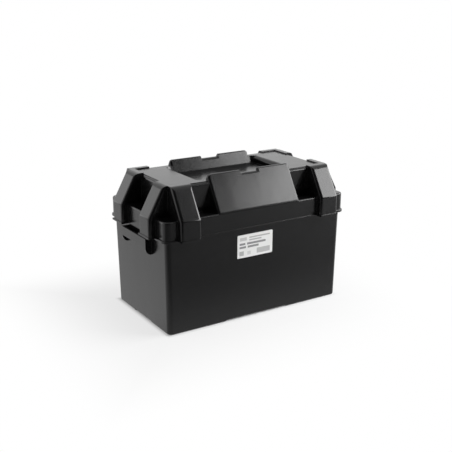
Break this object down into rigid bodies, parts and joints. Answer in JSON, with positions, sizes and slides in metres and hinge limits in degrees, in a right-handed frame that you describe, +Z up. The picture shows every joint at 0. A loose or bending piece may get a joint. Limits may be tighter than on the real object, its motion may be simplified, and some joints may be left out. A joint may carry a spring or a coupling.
{
  "type": "storage case with lift-off lid",
  "caption": "Rectangular moulded plastic case: a deep tub with strap loops on its ends, a lift-off lid with ribbed shoulders and a grip channel, and a plain label.",
  "frame": {"origin": "on the ground under the middle of the case", "axes": "+X along the case, +Y towards the back, +Z up; the label is on the -Y wall"},
  "size_m": [0.3794, 0.2254, 0.2494],
  "materials": {
    "case": "satin black moulded polypropylene",
    "label": "smooth white label stock"
  },
  "bodies": {
    "tub": {"tub": "case", "label": "label"},
    "lid": {"lid": "case"}
  },
  "joints": [
    {"name": "lid_lift", "type": "slide", "parent": "tub", "child": "lid", "axis": [0, 0, 1], "range_m": [0, 0.15]}
  ]
}
